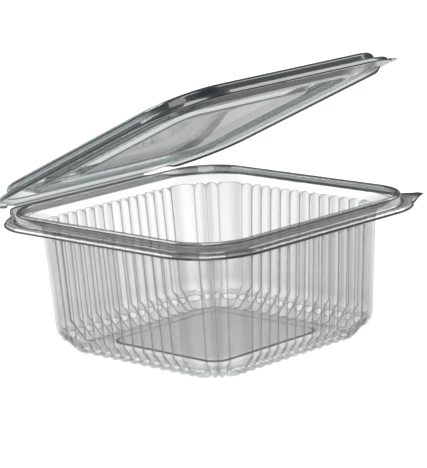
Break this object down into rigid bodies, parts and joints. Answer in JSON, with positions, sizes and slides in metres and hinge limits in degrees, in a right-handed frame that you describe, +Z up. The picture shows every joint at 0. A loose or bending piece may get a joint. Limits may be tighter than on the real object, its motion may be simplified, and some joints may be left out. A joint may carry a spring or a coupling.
{
  "type": "clear hinged food container",
  "caption": "Clear plastic takeaway box: a square fluted tub with a raised rim bead and a stepped lid on a living hinge, standing open and empty.",
  "frame": {"origin": "under the middle of the box's outline seen from above, hinge flange and tab included, on the surface it stands on", "axes": "+Z up; +Y towards the hinge, which runs along X; -Y towards the opening edge"},
  "size_m": [0.143, 0.1456, 0.1183],
  "materials": {
    "clear_plastic": "clear gloss"
  },
  "bodies": {
    "base": {"tub": "clear_plastic"},
    "cover": {"lid": "clear_plastic"}
  },
  "joints": [
    {"name": "lid_hinge", "type": "hinge", "parent": "base", "child": "cover", "pos_m": [-0.00206, 0.07269, 0.05597], "axis": [-1, 0, 0], "range_deg": [-24.5, 155.5]}
  ]
}
